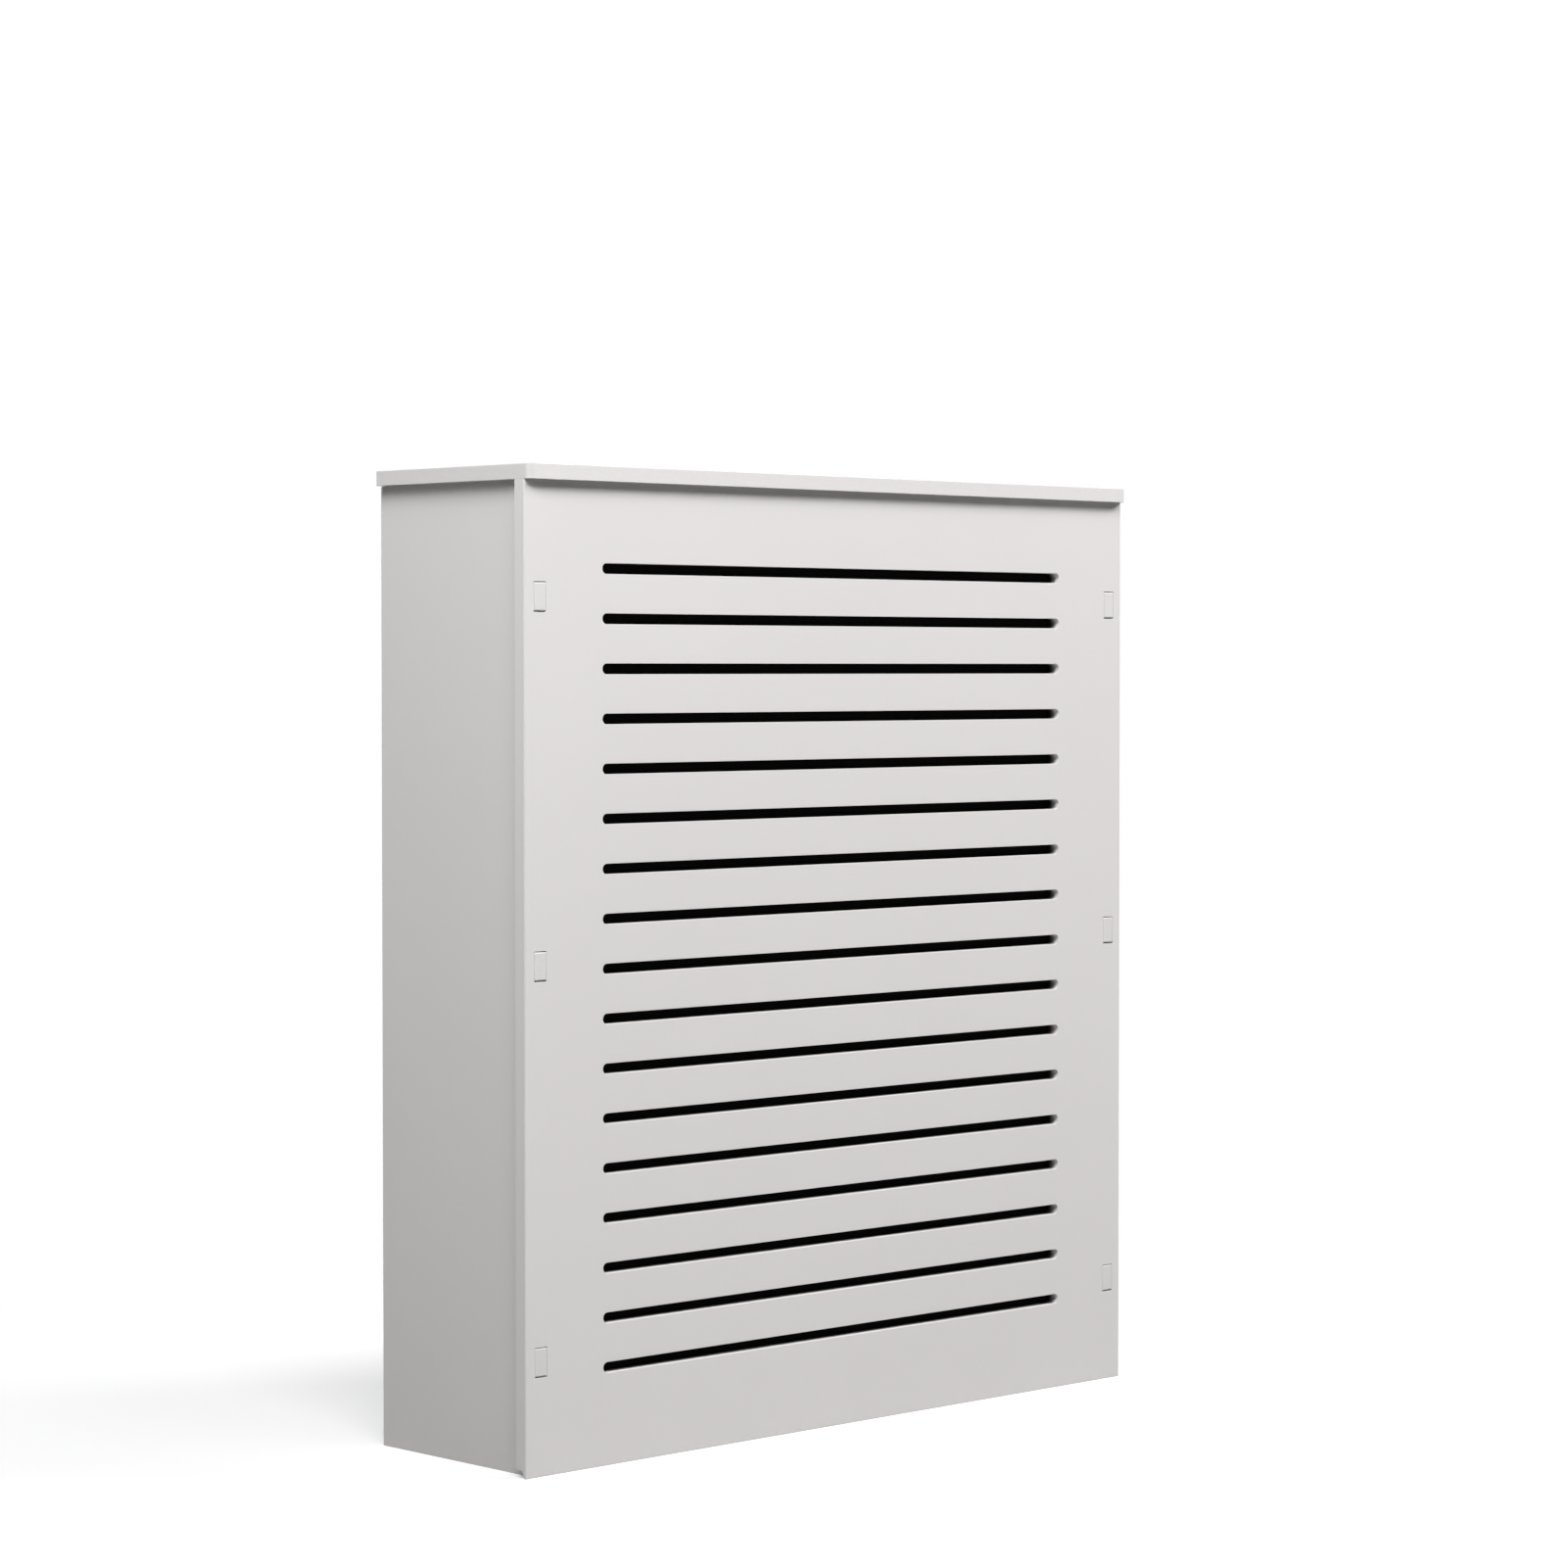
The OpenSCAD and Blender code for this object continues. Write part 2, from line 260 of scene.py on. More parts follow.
def flat_fill(loops):
    """Triangles that fill a flat outline less its holes, as rows of three point numbers. Each loop is closed,
    and their points are numbered one after another."""
    flat = bmesh.new()
    rings = [[flat.verts.new((*point, 0)) for point in loop] for loop in loops]
    sides = [flat.edges.new(pair) for ring in rings for pair in zip(ring, ring[1:] + ring[:1])]
    flat.verts.index_update()
    bmesh.ops.triangle_fill(flat, edges=sides, use_beauty=True)
    triples = np.array([[corner.index for corner in face.verts] for face in flat.faces])
    flat.free()
    return triples


def board_piece(name, grids, caps, origin, axes, materials):
    """Closed solid from edge grids and flat caps, set in its place. A point (u, v, depth) goes to the origin
    plus u, v and depth times the three axes. A grid is (points, normals, material index). A cap is (ends,
    toward, material index): ends lists loops as (grid, end), with end 0 for a grid's first ring and 1 for its
    last, and toward is -1 for the near side of the board or 1 for the far side."""
    axes = np.asarray(axes, float)
    starts = np.cumsum([0] + [points[..., 0].size for points, _, _ in grids])
    local = np.concatenate([points.reshape(-1, 3) for points, _, _ in grids])
    normals = np.concatenate([n.reshape(-1, 3) for _, n, _ in grids])
    faces, finish = [], []
    for start, (points, _, index) in zip(starts, grids):
        count, rings = points.shape[:2]
        at = start + np.arange(count * rings).reshape(count, rings)
        after = np.roll(at, -1, 0)
        quads = np.stack([at[:, :-1], at[:, 1:], after[:, 1:], after[:, :-1]], 2).reshape(-1, 4)
        faces += quads.tolist()
        finish += [index] * len(quads)
    for ends, toward, index in caps:
        loops = []
        for g, end in ends:
            count, rings = grids[g][0].shape[:2]
            loops.append(starts[g] + np.arange(count) * rings + end * (rings - 1))
        triples = np.concatenate(loops)[flat_fill([local[loop, :2] for loop in loops])]
        a, b, c = (local[triples[:, k], :2] for k in range(3))
        area = (b[:, 0] - a[:, 0]) * (c[:, 1] - a[:, 1]) - (b[:, 1] - a[:, 1]) * (c[:, 0] - a[:, 0])
        wrong = area * toward > 0
        triples[wrong] = triples[wrong][:, ::-1]
        faces += triples.tolist()
        finish += [index] * len(triples)
    if np.linalg.det(axes) > 0:
        faces = [face[::-1] for face in faces]
    mesh = bpy.data.meshes.new(name)
    mesh.from_pydata((np.asarray(origin) + local @ axes) * MM, [], faces, shade_flat=False)
    for material in materials:
        mesh.materials.append(material)
    mesh.polygons.foreach_set("material_index", finish)
    mesh.update()
    mesh.normals_split_custom_set_from_vertices((normals @ axes).tolist())
    piece = bpy.data.objects.new(name, mesh)
    bpy.context.scene.collection.objects.link(piece)
    return piece


def stands_for(piece, body, node):
    """The piece rides on a body and replaces a CAD node, which is hidden."""
    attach(piece, body)
    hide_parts(node)


board_skin = pressed_skin("pressed PVC foam board skin", SKIN_WHITE, SKIN_WHITE_SHADE)
board_edge = sawn_foam("sawn PVC foam board edge", FOAM_WHITE, FOAM_CELL_SHADE)
BOARD_FINISH = (board_skin, board_edge)

side_corners = [(SIDE_FRONT_Y, 0), (SIDE_REAR_Y, 0), (SIDE_REAR_Y, SIDE_TOP_Z)]
for tenon_front, tenon_back in TENON_SPANS_Y:
    side_corners += [(tenon_back, SIDE_TOP_Z), (tenon_back, TENON_TOP_Z)]
    side_corners += [(tenon_front, TENON_TOP_Z), (tenon_front, SIDE_TOP_Z)]
side_corners += [(SIDE_FRONT_Y, SIDE_TOP_Z)]
for middle in TAB_MIDDLES_Z:
    tab_low, tab_high = middle - TAB_HEIGHT / 2, middle + TAB_HEIGHT / 2
    side_corners += [(SIDE_FRONT_Y, tab_high), (FRONT_FACE_Y, tab_high)]
    side_corners += [(FRONT_FACE_Y, tab_low), (SIDE_FRONT_Y, tab_low)]
side_path, side_out = corner_path(side_corners, SIDE_CORNER_ROUND)
side_edge = (*eased_edge(side_path, side_out, BOARD_THICK, SIDE_EASE, SIDE_EASE), 1)
for side, hand in (("left", -1), ("right", 1)):
    panel = board_piece(
        f"{side}_side_board",
        [side_edge],
        [([(0, 0)], -1, 0), ([(0, 1)], 1, 0)],
        (hand * SIDE_OUTER_X, 0, 0),
        ((0, 1, 0), (0, 0, 1), (-hand, 0, 0)),
        BOARD_FINISH,
    )
    stands_for(panel, "carcass", f"{side}_side_panel")


# Rear rail and front stretcher
# Two strips of the same board between the side panels. The rail keeps them apart at the top of the back and
# has two drilled holes for the wall screws; the stretcher stands behind the front panel's foot.

CROSS_HALF_LENGTH = SIDE_OUTER_X - BOARD_THICK
CROSS_EASE = 0.4
RAIL_FRONT_Y = SIDE_REAR_Y - BOARD_THICK
RAIL_SPAN_Z = (728, SIDE_TOP_Z)
STRETCHER_SPAN_Z = (6, 42)
WALL_HOLE_X = 200
WALL_HOLE_RADIUS = 2.5
WALL_HOLE_STEPS = 6


def rectangle(u_low, u_high, v_low, v_high):
    """Corners of a rectangle, anticlockwise."""
    return [(u_low, v_low), (u_high, v_low), (u_high, v_high), (u_low, v_high)]


def through_board(name, outline, holes, origin, axes, materials, ease, thick=BOARD_THICK):
    """Plain board with through holes: the outline and each hole are (corners, radii, steps), all with the
    same eased edges. Holes are turned round, so that they run clockwise."""
    loops = [corner_path(*outline)] + [corner_path(corners[::-1], *rest) for corners, *rest in holes]
    grids = [(*eased_edge(path, out, thick, ease, ease), 1) for path, out in loops]
    ends = [[(g, end) for g in range(len(grids))] for end in (0, 1)]
    return board_piece(name, grids, [(ends[0], -1, 0), (ends[1], 1, 0)], origin, axes, materials)


# A board that faces the front has its u to the right, its v up and its depth to the rear
FACING_FRONT = ((1, 0, 0), (0, 0, 1), (0, 1, 0))
rail_middle_z = sum(RAIL_SPAN_Z) / 2
wall_holes = [
    (
        rectangle(
            x - WALL_HOLE_RADIUS,
            x + WALL_HOLE_RADIUS,
            rail_middle_z - WALL_HOLE_RADIUS,
            rail_middle_z + WALL_HOLE_RADIUS,
        ),
        WALL_HOLE_RADIUS,
        WALL_HOLE_STEPS,
    )
    for x in (-WALL_HOLE_X, WALL_HOLE_X)
]
rail = through_board(
    "rear_rail_board",
    (rectangle(-CROSS_HALF_LENGTH, CROSS_HALF_LENGTH, *RAIL_SPAN_Z), SIDE_CORNER_ROUND),
    wall_holes,
    (0, RAIL_FRONT_Y, 0),
    FACING_FRONT,
    BOARD_FINISH,
    CROSS_EASE,
)
stands_for(rail, "carcass", "rear_rail")
stretcher = through_board(
    "front_stretcher_board",
    (rectangle(-CROSS_HALF_LENGTH, CROSS_HALF_LENGTH, *STRETCHER_SPAN_Z), SIDE_CORNER_ROUND),
    [],
    (0, SIDE_FRONT_Y, 0),
    FACING_FRONT,
    BOARD_FINISH,
    CROSS_EASE,
)
stands_for(stretcher, "carcass", "front_stretcher")


# Corner brackets
# Four angles punched and bent from 2 mm steel and zinc plated, one in each corner of rail or stretcher and
# side panel. The CAD solids have the right shape, and only get the small break that tumbling leaves on edges.

ZINC = "#C3C6C9"
ZINC_SHADE = "#A9ADB2"
ZINC_ROUGHNESS = (0.28, 0.42)
ZINC_MOTTLE_MM = 3
BRACKET_WELD = 0.001
BRACKET_FLAT_ANGLE = math.radians(1)
BRACKET_EDGE_ANGLE = math.radians(40)
BRACKET_EDGE_BREAK = 0.3
BRACKET_EDGE_STEPS = 2


def zinc_plate(name, light, shade, mottle_mm):
    """Bright zinc plating over steel, dipped in a barrel: a cool silver metal with soft reflections, faintly
    mottled where the crystals of the plating differ. The real mottle is too fine to show, so it is drawn 3 mm
    wide on the brackets and 1.2 mm on the screws."""
    material, tree, output = new_material(name)
    place = add_node(tree, "ShaderNodeTexCoord").outputs["Object"]
    grains = add_node(
        tree, "ShaderNodeTexVoronoi", {"Vector": place, "Scale": 1 / (mottle_mm * MM)}
    ).outputs["Color"]
    grey = add_node(tree, "ShaderNodeRGBToBW", {"Color": grains}).outputs["Val"]
    colour = add_node(
        tree,
        "ShaderNodeMix",
        {"Factor": grey, "A": linear(light), "B": linear(shade)},
        data_type="RGBA",
    )
    roughness = add_node(
        tree,
        "ShaderNodeMapRange",
        {"Value": grey, "To Min": ZINC_ROUGHNESS[0], "To Max": ZINC_ROUGHNESS[1]},
    )
    shader = add_node(
        tree,
        "ShaderNodeBsdfPrincipled",
        {
            "Base Color": colour.outputs["Result"],
            "Roughness": roughness.outputs["Result"],
            "Metallic": 1.0,
        },
    )
    tree.links.new(shader.outputs["BSDF"], output.inputs["Surface"])
    return material


bracket_zinc = zinc_plate("zinc plated bent steel", ZINC, ZINC_SHADE, ZINC_MOTTLE_MM)
CORNERS = ("rear_left", "rear_right", "front_left", "front_right")
for corner in CORNERS:
    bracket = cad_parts[f"{corner}_bracket"]
    bracket.data.materials.clear()
    bracket.data.materials.append(bracket_zinc)
    weld = bracket.modifiers.new("weld", "WELD")
    weld.merge_threshold = BRACKET_WELD * MM
    flatten = bracket.modifiers.new("flatten", "DECIMATE")
    flatten.decimate_type = "DISSOLVE"
    flatten.angle_limit = BRACKET_FLAT_ANGLE
    edges = bracket.modifiers.new("edges", "BEVEL")
    edges.width = BRACKET_EDGE_BREAK * MM
    edges.segments = BRACKET_EDGE_STEPS
    edges.limit_method = "ANGLE"
    edges.angle_limit = BRACKET_EDGE_ANGLE


# Bracket screws
# Four pan-head wood screws with a cross recess in each bracket, rolled from wire and zinc plated. Only their
# heads show; their threads sit in the foam of the boards.

BRACKET_LEG_HOLES = (11, 23)
BRACKET_THICK = 2
BRACKET_SCREW_SIZES = {"head_width": 6.6, "head_high": 2.2, "shank_width": 3.5, "length": 11, "pitch": 1.4}
DOME_POWER = 3
DOME_FIRST_ANGLE = 0.02
RECESS_WALL_SLOPE = 4
THREAD_SHARPNESS = 8
# The recess's arms are shares of the head's radius, and its depth is a share of the head's height
RECESS_ARM_LENGTH = 0.5
RECESS_ARM_HALF_WIDTH = 0.16
RECESS_DEPTH = 0.55
# The thread's core and the tip are shares of the shank's radius, its run-in of the shank's length, and the
# point's length of the shank's width
THREAD_CORE = 0.68
TIP_BLUNT = 0.02
THREAD_RUN_IN = 0.125
POINT_LENGTH = 0.9

SCREW_ZINC = "#CFD1D3"
SCREW_ZINC_SHADE = "#B4B7BA"
ZINC_FINE_MOTTLE_MM = 1.2


def screw_grid(head_width, head_high, shank_width, length, pitch, turns=32, dome_rows=14, shank_rows=60):
    """Pan-head screw as a grid, row by angle, pointing down from a head that stands on height zero. The dome
    is a super-ellipse of power 3 less a cross recess, and the shank's radius follows a ridge that climbs one
    pitch a turn and fades out into the point."""
    angle = np.linspace(0, 2 * np.pi, turns, endpoint=False)
    head_radius = head_width / 2
    reach = head_radius * np.sin(np.linspace(DOME_FIRST_ANGLE, np.pi / 2, dome_rows))[:, None]
    x, y = reach * np.cos(angle), reach * np.sin(angle)
    along = np.maximum(np.abs(x), np.abs(y)) / (head_radius * RECESS_ARM_LENGTH)
    across = np.minimum(np.abs(x), np.abs(y)) / (head_radius * RECESS_ARM_HALF_WIDTH)
    recess = np.clip(RECESS_WALL_SLOPE * (1 - across), 0, 1) * np.clip(RECESS_WALL_SLOPE * (1 - along), 0, 1)
    dome = (1 - (reach / head_radius) ** DOME_POWER) ** (1 / DOME_POWER)
    dome_height = head_high * (dome - RECESS_DEPTH * recess)
    down = np.linspace(0, 1, shank_rows)[:, None]
    ridge = np.cos(2 * np.pi * (down * length / pitch) - angle) ** THREAD_SHARPNESS
    core = THREAD_CORE + (1 - THREAD_CORE) * ridge * np.clip(down / THREAD_RUN_IN, 0, 1)
    point = np.clip((1 - down) * length / (shank_width * POINT_LENGTH), TIP_BLUNT, 1)
    shank_reach = shank_width / 2 * core * point
    reach = np.concatenate([np.broadcast_to(reach, x.shape), shank_reach])
    height = np.concatenate([dome_height, np.broadcast_to(-down * length, shank_reach.shape)])
    return np.stack([reach * np.cos(angle), reach * np.sin(angle), height], 2)


def screws_piece(name, shape, seats, material):
    """One mesh of equal screws. A seat is (point under the head, level direction of the tip), and the screw's
    grid is turned so that its own down becomes that direction. Both ends of the grid close on their middle
    point."""
    rows, turns = shape.shape[:2]
    at = np.arange(rows * turns).reshape(rows, turns)
    after = np.roll(at, -1, 1)
    quads = np.stack([at[:-1], at[1:], after[1:], after[:-1]], 2).reshape(-1, 4)
    ends = shape[[0, -1]].mean(1)
    top = np.stack([np.full(turns, rows * turns), at[0], after[0]], 1)
    tip = np.stack([np.full(turns, rows * turns + 1), after[-1], at[-1]], 1)
    one = np.concatenate([shape.reshape(-1, 3), ends])
    points, faces = [], []
    for number, (seat, tip_way) in enumerate(seats):
        down = np.asarray(tip_way, float)
        level = np.cross(down, (0, 0, 1))
        turned = np.stack([level, np.cross(level, down), -down])
        points.append(np.asarray(seat) + one @ turned)
        for part in (quads, top, tip):
            faces += (part + number * len(one)).tolist()
    mesh = bpy.data.meshes.new(name)
    mesh.from_pydata(np.concatenate(points) * MM, [], faces, shade_flat=False)
    mesh.materials.append(material)
    piece = bpy.data.objects.new(name, mesh)
    bpy.context.scene.collection.objects.link(piece)
    return piece


screw_zinc = zinc_plate("zinc plated screw wire", SCREW_ZINC, SCREW_ZINC_SHADE, ZINC_FINE_MOTTLE_MM)
bracket_screw = screw_grid(**BRACKET_SCREW_SIZES)
for corner in CORNERS:
    hand = -1 if "left" in corner else 1
    if "rear" in corner:
        board_y, height, inward = RAIL_FRONT_Y, rail_middle_z, -1
    else:
        board_y, height, inward = SIDE_FRONT_Y + BOARD_THICK, sum(STRETCHER_SPAN_Z) / 2, 1
    seats = []
    for reach in BRACKET_LEG_HOLES:
        seats += [
            ((hand * (CROSS_HALF_LENGTH - reach), board_y + inward * BRACKET_THICK, height), (0, -inward, 0)),
            ((hand * (CROSS_HALF_LENGTH - BRACKET_THICK), board_y + inward * reach, height), (hand, 0, 0)),
        ]
    screws = screws_piece(f"{corner}_pan_screws", bracket_screw, seats, screw_zinc)
    stands_for(screws, "carcass", f"{corner}_screws")


# Front panel
# One board cut on a router: seventeen round-ended slots, six mortises for the tabs, both upright front edges
# rounded to 1.2 mm and the rest just broken. Behind, its foot is cut away in a wedge, leaving a thin lip.

PANEL_HALF_WIDTH = 350
PANEL_LOW_Z = 0.2
PANEL_HIGH_Z = SIDE_TOP_Z
UPRIGHT_EDGE_RADIUS = 1.2
UPRIGHT_EDGE_STEPS = 8
PANEL_EASE = 0.25
SLOT_COUNT = 17
SLOT_LOW_Z = 79
SLOT_PITCH = 40
SLOT_HALF_LENGTH = 268.5
SLOT_HALF_HEIGHT = 4.25
SLOT_EASE = 0.3
SLOT_END_STEPS = 8
MORTISE_SIDE_GAP = 0.3
MORTISE_LOW_GAP = 1.0
MORTISE_HIGH_GAP = 0.6
MORTISE_EASE = 0.1
MORTISE_X = (CROSS_HALF_LENGTH - MORTISE_SIDE_GAP, SIDE_OUTER_X + MORTISE_SIDE_GAP)
FOOT_LIP = 1.5
FOOT_CUT_END = 5
FOOT_CUT_HEIGHT = 6
FOOT_CREASE = 0.2
SAME_DEPTH_DIGITS = 4
# The slots' walls darken from the foam's white to this near black over these depths y: painted shade inside
# the slots
SLOT_PAINTED_SHADE = "#1E1D1C"
SLOT_PAINTED_SHADE_SPAN_Y = (-91, -82)

panel_path, panel_out = corner_path(
    rectangle(-PANEL_HALF_WIDTH, PANEL_HALF_WIDTH, PANEL_LOW_Z, PANEL_HIGH_Z), PANEL_EASE
)
foot_marks = [mark + step for mark in (FOOT_LIP, FOOT_CUT_END) for step in (-FOOT_CREASE, FOOT_CREASE)]
panel_depth = np.unique(
    np.concatenate(
        [
            ring_depths(BOARD_THICK, PANEL_EASE, PANEL_EASE),
            ring_depths(BOARD_THICK, UPRIGHT_EDGE_RADIUS, PANEL_EASE, UPRIGHT_EDGE_STEPS),
            foot_marks,
        ]
    ).round(SAME_DEPTH_DIGITS)
)
side_inset, side_lean = rounding(panel_depth, BOARD_THICK, UPRIGHT_EDGE_RADIUS, PANEL_EASE)
end_inset, end_lean = rounding(panel_depth, BOARD_THICK, PANEL_EASE, PANEL_EASE)
panel_low = panel_path[:, 1] < SLOT_LOW_Z
foot_lift = np.interp(panel_depth, [FOOT_LIP, FOOT_CUT_END], [0, FOOT_CUT_HEIGHT])
on_slope = (panel_depth > FOOT_LIP) & (panel_depth < FOOT_CUT_END)
slope_lean = math.atan2(FOOT_CUT_HEIGHT, FOOT_CUT_END - FOOT_LIP)
panel_shift = np.stack(
    [
        np.sign(panel_path[:, :1]) * side_inset,
        np.where(panel_low[:, None], -end_inset - foot_lift, end_inset),
    ],
    2,
)
# Round a corner the lean passes from the side's to the end's with the squares of the direction's two parts
panel_lean = panel_out[:, :1] ** 2 * side_lean + panel_out[:, 1:] ** 2 * np.where(
    panel_low[:, None] & on_slope, slope_lean, end_lean
)
panel_grids = [(*edge_grid(panel_path, panel_out, panel_depth, panel_shift, panel_lean), 0)]
for number in range(SLOT_COUNT):
    slot_z = SLOT_LOW_Z + number * SLOT_PITCH
    slot_corners = rectangle(
        -SLOT_HALF_LENGTH, SLOT_HALF_LENGTH, slot_z - SLOT_HALF_HEIGHT, slot_z + SLOT_HALF_HEIGHT
    )
    slot_loop = corner_path(slot_corners[::-1], SLOT_HALF_HEIGHT, SLOT_END_STEPS)
    panel_grids.append((*eased_edge(*slot_loop, BOARD_THICK, SLOT_EASE, SLOT_EASE), 2))
for middle in TAB_MIDDLES_Z:
    for x_low, x_high in (MORTISE_X, (-MORTISE_X[1], -MORTISE_X[0])):
        mortise = rectangle(
            x_low,
            x_high,
            middle - TAB_HEIGHT / 2 - MORTISE_LOW_GAP,
            middle + TAB_HEIGHT / 2 + MORTISE_HIGH_GAP,
        )
        mortise_loop = corner_path(mortise[::-1], MORTISE_EASE)
        panel_grids.append((*eased_edge(*mortise_loop, BOARD_THICK, MORTISE_EASE, MORTISE_EASE), 1))
panel_ends = [[(g, end) for g in range(len(panel_grids))] for end in (0, 1)]
# The slots' walls are white at the front and pass into a painted shade of near black toward the back, where
# little light gets in
slot_wall = sawn_foam(
    "routed PVC foam board slot wall with painted shade", FOAM_WHITE, FOAM_CELL_SHADE, SLOT_PAINTED_SHADE, SLOT_PAINTED_SHADE_SPAN_Y
)
front_panel = board_piece(
    "front_panel_board",
    panel_grids,
    [(panel_ends[0], -1, 0), (panel_ends[1], 1, 0)],
    (0, FRONT_FACE_Y, 0),
    FACING_FRONT,
    (*BOARD_FINISH, slot_wall),
)
stands_for(front_panel, "front", "front_panel")


# Shade cloth
# One sheet of thin black woven cloth pulled flat over the backs of the slots, so that air passes and nothing
# shows through: its black stands in for the shade inside the slots, a painted shade. It ends 20 mm past the
# slots all round, with the outer edge of the battens that clamp it.

CLOTH_BORDER = 20
CLOTH_HALF_WIDTH = SLOT_HALF_LENGTH + CLOTH_BORDER
CLOTH_SPAN_Z = (
    SLOT_LOW_Z - SLOT_HALF_HEIGHT - CLOTH_BORDER,
    SLOT_LOW_Z + (SLOT_COUNT - 1) * SLOT_PITCH + SLOT_HALF_HEIGHT + CLOTH_BORDER,
)
CLOTH_THICK = 0.5
CLOTH_STEP_ACROSS = 7
CLOTH_STEP_UP = 4
CLOTH_GAP = 0.05
CLOTH_BELLY = 0.12
BELLY_RAMP = 8
BELLY_SHARPNESS = 6

# The cloth's near black is painted shade for the dark inside of the slots
CLOTH_SHADE_BLACK = "#0B0B0B"
CLOTH_THREAD_SHINE = "#161616"
CLOTH_IOR = 1.4
CLOTH_SPECULAR = 0.1
CLOTH_ROUGHNESS = 0.95
THREAD_MM = 0.5
THREAD_HEIGHT_MM = 0.2
THREAD_STRENGTH = 0.5


def cloth_weave(name, dark, light):
    """Plain weave of black polyester yarn: almost no light comes back, with a faint grid where threads cross.
    Threads are drawn 0.5 mm apart, wider than the real ones, so that they show through a slot close up. The
    wave texture of warp and weft repeats every pi / 10 of its scaled place."""
    material, tree, output = new_material(name)
    place = add_node(tree, "ShaderNodeTexCoord").outputs["UV"]
    warp, weft = (
        add_node(
            tree,
            "ShaderNodeTexWave",
            {"Vector": place, "Scale": math.pi / 10 / (THREAD_MM * MM)},
            bands_direction=direction,
        ).outputs["Fac"]
        for direction in "XY"
    )
    threads = add_node(tree, "ShaderNodeMath", {0: warp, 1: weft}, operation="MULTIPLY").outputs["Value"]
    colour = add_node(
        tree,
        "ShaderNodeMix",
        {"Factor": threads, "A": linear(dark), "B": linear(light)},
        data_type="RGBA",
    )
    bump = add_node(
        tree,
        "ShaderNodeBump",
        {"Height": threads, "Strength": THREAD_STRENGTH, "Distance": THREAD_HEIGHT_MM * MM},
    )
    shader = add_node(
        tree,
        "ShaderNodeBsdfPrincipled",
        {
            "Base Color": colour.outputs["Result"],
            "Normal": bump.outputs["Normal"],
            "Roughness": CLOTH_ROUGHNESS,
            "IOR": CLOTH_IOR,
            "Specular IOR Level": CLOTH_SPECULAR,
        },
    )
    tree.links.new(shader.outputs["BSDF"], output.inputs["Surface"])
    return material


cloth_height = CLOTH_SPAN_Z[1] - CLOTH_SPAN_Z[0]
steps_across = round(2 * CLOTH_HALF_WIDTH / CLOTH_STEP_ACROSS)
cloth_u = np.linspace(-CLOTH_HALF_WIDTH, CLOTH_HALF_WIDTH, steps_across + 1)
cloth_v = np.linspace(*CLOTH_SPAN_Z, round(cloth_height / CLOTH_STEP_UP) + 1)
grid_v, grid_u = np.meshgrid(cloth_v, cloth_u, indexing="ij")
# The cloth lies on the panel's back and bellies a little forward where a slot leaves it free
free = np.clip(SLOT_HALF_LENGTH - np.abs(grid_u), 0, BELLY_RAMP) / BELLY_RAMP
at_slot = (0.5 + 0.5 * np.cos(2 * np.pi * (grid_v - SLOT_LOW_Z) / SLOT_PITCH)) ** BELLY_SHARPNESS
cloth_y = SIDE_FRONT_Y + CLOTH_THICK / 2 + CLOTH_GAP - CLOTH_BELLY * free * at_slot
cloth_points = np.stack([grid_u, cloth_y, grid_v], 2).reshape(-1, 3)
cloth_at = np.arange(grid_u.size).reshape(grid_u.shape)
cloth_quads = np.stack([cloth_at[:-1, :-1], cloth_at[:-1, 1:], cloth_at[1:, 1:], cloth_at[1:, :-1]], 2)
cloth_mesh = bpy.data.meshes.new("slot_shade_cloth")
cloth_mesh.from_pydata(cloth_points * MM, [], cloth_quads.reshape(-1, 4).tolist(), shade_flat=False)
cloth_corners = np.zeros(len(cloth_mesh.loops), int)
cloth_mesh.loops.foreach_get("vertex_index", cloth_corners)
cloth_map = cloth_mesh.uv_layers.new(name="cloth")
cloth_map.data.foreach_set("uv", (cloth_points[cloth_corners][:, [0, 2]] * MM).ravel())
cloth_mesh.materials.append(cloth_weave("black woven shade cloth", CLOTH_SHADE_BLACK, CLOTH_THREAD_SHINE))
shade_cloth = bpy.data.objects.new("slot_shade_cloth", cloth_mesh)
bpy.context.scene.collection.objects.link(shade_cloth)
cloth_body = shade_cloth.modifiers.new("thickness", "SOLIDIFY")
cloth_body.thickness = CLOTH_THICK * MM
cloth_body.offset = 0
stands_for(shade_cloth, "front", "slot_screen")


# Battens
# Four thin extruded PVC strips that clamp the cloth's edge to the back of the front panel. The upper and
# lower ones run right across, and the left and right ones fit between them.

BATTEN_FRONT_Y = SIDE_FRONT_Y + CLOTH_THICK + 2 * CLOTH_GAP
BATTEN_THICK = 3
BATTEN_WIDTH = 14
BATTEN_EASE = 0.4
BATTEN_WHITE = "#DEDCD9"
BATTEN_WHITE_SHADE = "#D9D7D4"

batten_skin = pressed_skin("extruded PVC strip", BATTEN_WHITE, BATTEN_WHITE_SHADE)
ring_in_x = CLOTH_HALF_WIDTH - BATTEN_WIDTH
ring_low_z, ring_high_z = CLOTH_SPAN_Z[0] + BATTEN_WIDTH, CLOTH_SPAN_Z[1] - BATTEN_WIDTH
batten_outlines = {
    "upper": rectangle(-CLOTH_HALF_WIDTH, CLOTH_HALF_WIDTH, ring_high_z, CLOTH_SPAN_Z[1]),
    "lower": rectangle(-CLOTH_HALF_WIDTH, CLOTH_HALF_WIDTH, CLOTH_SPAN_Z[0], ring_low_z),
    "left": rectangle(-CLOTH_HALF_WIDTH, -ring_in_x, ring_low_z, ring_high_z),
    "right": rectangle(ring_in_x, CLOTH_HALF_WIDTH, ring_low_z, ring_high_z),
}
